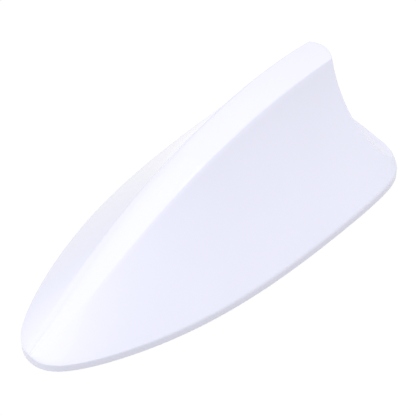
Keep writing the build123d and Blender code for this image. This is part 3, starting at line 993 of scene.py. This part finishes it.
# %% [markdown]
# The rest of the aerial keeps the shapes of the solid model and only needs finishes. Moulded black
# plastic has a fine spark grain, tinplate shows the direction it was rolled in, and rubber is dull
# and uneven.

# %% Finishes of the other pieces
ROLLED = (0.06, 1, 1)

# name, dark tone, light tone, grain, range of roughness, relief, metal and stretch of the grain
rubber = finish("grommet_rubber", (0.016, 0.016, 0.016), (0.030, 0.030, 0.030), 1500, (0.62, 0.85), 2e-5)
seal_rubber = finish("seal_rubber", (0.014, 0.014, 0.014), (0.026, 0.026, 0.026), 2200, (0.70, 0.90), 2e-5)
floor_black = finish("floor_black", (0.016, 0.016, 0.018), (0.034, 0.034, 0.037), 3200, (0.42, 0.62), 4e-5)
brass = finish("socket_brass", (0.66, 0.45, 0.16), (0.80, 0.58, 0.24), 1400, (0.16, 0.30), 3e-6, 1.0)
bush_white = finish("socket_white", (0.74, 0.74, 0.70), (0.82, 0.82, 0.79), 1800, (0.38, 0.52), 8e-6)
can_tin = finish("can_tin", (0.58, 0.58, 0.56), TIN, 1300, (0.20, 0.36), 4e-6, 1.0, ROLLED)
plate_tin = finish("plate_tin", (0.54, 0.54, 0.52), (0.68, 0.68, 0.66), 1000, (0.24, 0.42), 4e-6, 1.0, ROLLED)
epoxy = finish("chip_black", (0.012, 0.012, 0.013), (0.026, 0.026, 0.027), 9000, (0.50, 0.68), 1e-5)
ferrite = finish("ferrite_grey", (0.055, 0.055, 0.060), (0.120, 0.120, 0.125), 5200, (0.55, 0.75), 2e-5)
ivory = finish("former_ivory", (0.60, 0.54, 0.41), (0.68, 0.62, 0.49), 700, (0.34, 0.48), 6e-6)
copper = finish("coil_copper", (0.52, 0.20, 0.085), (0.66, 0.28, 0.13), 1600, (0.14, 0.26), 3e-6, 1.0, ROLLED)
grommet.data.materials.append(rubber)

node_finishes = {
    "base_plate": floor_black,
    "base_seal": seal_rubber,
    "circuit_board": board_green,
    "socket_shell": brass,
    "socket_pin": brass,
    "socket_insulator": bush_white,
    "shield_can": can_tin,
    "amplifier_chip": epoxy,
    "chip_capacitors": capacitor_tan,
    "chip_resistors": resistor_black,
    "chip_inductors": ferrite,
    "coil_former": ivory,
    "antenna_coil": copper,
    "top_load_plate": plate_tin,
}
for name, material in node_finishes.items():
    nodes[name].material_slots[0].material = material
print("nodes with a finish of their own:", len(node_finishes))

# %% [markdown]
# The picture is taken from above and ahead, with a long lens, so the far end of the fin hardly
# shrinks. The camera stands where the outline of the solid model lies over the outline in the
# picture.

# %% Camera
AZIMUTH = radians(-43.282)
ELEVATION = radians(53.0)
DISTANCE = 800 * MM
PICTURE_WIDTH = 416
SENSOR_WIDTH = 36.0
FOCAL_PIXELS = 2106.155
ORIGIN_RIGHT = -13.899
ORIGIN_DOWN = 28.485


def add_camera():
    """Camera that looks at the fin from the picture's side."""
    back = Vector((sin(AZIMUTH) * cos(ELEVATION), -cos(AZIMUTH) * cos(ELEVATION), sin(ELEVATION)))
    turn = (-back).to_track_quat("-Z", "Y")
    right = turn @ Vector((1, 0, 0))
    up = turn @ Vector((0, 1, 0))
    aim = -back * FOCAL_PIXELS - right * ORIGIN_RIGHT + up * ORIGIN_DOWN
    lens = bpy.data.cameras.new("camera")
    lens.sensor_width = SENSOR_WIDTH
    lens.lens = FOCAL_PIXELS / PICTURE_WIDTH * SENSOR_WIDTH
    camera = bpy.data.objects.new("camera", lens)
    camera.location = Vector((0, 0, RIM_Z)) + back * DISTANCE
    camera.rotation_mode = "QUATERNION"
    camera.rotation_quaternion = aim.to_track_quat("-Z", "Y")
    bpy.context.scene.collection.objects.link(camera)
    bpy.context.scene.camera = camera
    return camera


camera = add_camera()
print("lens:", round(camera.data.lens, 1), "mm")

# %% [markdown]
# A glossy white thing on white shows its form only by what it mirrors. So the fin stands in a white
# room, a light tent, and three panels overhead are seen by mirrors alone: they draw the bright band
# along the spine down to the nose. Three weak soft lamps, hidden from mirrors, tone the sides. One
# big bright lamp would be simpler, but it would clip the white.

# %% Lamps
# name, place, length, width, how bright it looks, and whether only mirrors see it
LAMPS = [
    ("strip_panel", (0.60, 0.45, 1.0), 1.7, 1.3, 0.2, True),
    ("front_panel", (-0.55, 0.0, 1.0), 0.9, 1.5, 0.45, True),
    ("edge_panel", (0.35, -0.45, 1.0), 1.6, 0.6, 0.8, True),
    ("near_lamp", (-0.42, -0.62, 0.62), 0.8, 0.8, 0.95, False),
    ("rear_lamp", (0.81, -0.30, 0.60), 0.6, 0.6, 0.9, False),
    ("far_lamp", (-0.88, 0.36, 0.30), 0.6, 0.6, 1.8, False),
]


def add_lamp(name, place, length, width, radiance):
    """Soft lamp with its length along X that points at the origin, as bright to look at as asked."""
    data = bpy.data.lights.new(name, "AREA")
    data.shape = "RECTANGLE"
    data.size = length
    data.size_y = width
    data.energy = radiance * pi * length * width
    lamp = bpy.data.objects.new(name, data)
    outward = Vector(place).normalized()
    level = (Vector((1, 0, 0)) - outward * outward.x).normalized()
    lamp.location = place
    lamp.rotation_mode = "QUATERNION"
    lamp.rotation_quaternion = Matrix((level, outward.cross(level), outward)).transposed().to_quaternion()
    bpy.context.scene.collection.objects.link(lamp)
    return lamp


for name, place, length, width, radiance, mirrored in LAMPS:
    lamp = add_lamp(name, place, length, width, radiance)
    lamp.visible_diffuse = not mirrored
    lamp.visible_glossy = mirrored
print("lamps:", len(LAMPS))

# %% [markdown]
# Room and floor share one trick with the Light Path node. Rays that come from the camera, from a
# mirror or through glass see white, and all other rays meet a plain level of light or grey paint.
# On the floor the white is mixed with a share of the paint, so a faint shadow stays.

# %% Room and floor
ROOM_LIGHT = 0.945
FLOOR_SIZE = 8.0
FLOOR_GREY = 0.24
GLOW_SHARE = 0.80
GLOW = 1.20
FLOOR_ROUGHNESS = 0.9


def seen_directly(tree):
    """One where a ray comes from the camera, from a mirror or through glass, else nought."""
    path = tree.nodes.new("ShaderNodeLightPath")
    first = tree.nodes.new("ShaderNodeMath")
    first.operation = "MAXIMUM"
    second = tree.nodes.new("ShaderNodeMath")
    second.operation = "MAXIMUM"
    tree.links.new(path.outputs["Is Camera Ray"], first.inputs[0])
    tree.links.new(path.outputs["Is Glossy Ray"], first.inputs[1])
    tree.links.new(first.outputs[0], second.inputs[0])
    tree.links.new(path.outputs["Is Transmission Ray"], second.inputs[1])
    return second.outputs[0]


def white_room(strength):
    """World that is white to look at and lights the fin with the given strength."""
    world = bpy.data.worlds.new("white_room")
    world.use_nodes = True
    tree = world.node_tree
    light = tree.nodes["Background"]
    light.inputs["Color"].default_value = (1, 1, 1, 1)
    light.inputs["Strength"].default_value = strength
    seen = tree.nodes.new("ShaderNodeBackground")
    seen.inputs["Color"].default_value = (1, 1, 1, 1)
    mix = tree.nodes.new("ShaderNodeMixShader")
    tree.links.new(seen_directly(tree), mix.inputs["Fac"])
    tree.links.new(light.outputs["Background"], mix.inputs[1])
    tree.links.new(seen.outputs["Background"], mix.inputs[2])
    tree.links.new(mix.outputs["Shader"], tree.nodes["World Output"].inputs["Surface"])
    bpy.context.scene.world = world


def white_floor(grey, share, glare):
    """Floor that is mostly white to look at, and keeps a soft shadow."""
    half = FLOOR_SIZE / 2
    mesh = bpy.data.meshes.new("floor")
    corners = [(-half, -half, 0), (half, -half, 0), (half, half, 0), (-half, half, 0)]
    mesh.from_pydata(corners, [], [(0, 1, 2, 3)])
    floor = mesh_object("floor", mesh)
    material, tree, shader = new_material("floor_white")
    shader.inputs["Base Color"].default_value = (grey, grey, grey, 1)
    shader.inputs["Roughness"].default_value = FLOOR_ROUGHNESS
    glow = tree.nodes.new("ShaderNodeEmission")
    glow.inputs["Strength"].default_value = glare
    scale = tree.nodes.new("ShaderNodeMath")
    scale.operation = "MULTIPLY"
    scale.inputs[1].default_value = share
    mix = tree.nodes.new("ShaderNodeMixShader")
    tree.links.new(seen_directly(tree), scale.inputs[0])
    tree.links.new(scale.outputs[0], mix.inputs["Fac"])
    tree.links.new(shader.outputs["BSDF"], mix.inputs[1])
    tree.links.new(glow.outputs["Emission"], mix.inputs[2])
    tree.links.new(mix.outputs["Shader"], tree.nodes["Material Output"].inputs["Surface"])
    floor.data.materials.append(material)


white_room(ROOM_LIGHT)
white_floor(FLOOR_GREY, GLOW_SHARE, GLOW)
bpy.context.scene.view_settings.view_transform = "Standard"
print("floor:", FLOOR_SIZE, "m wide")
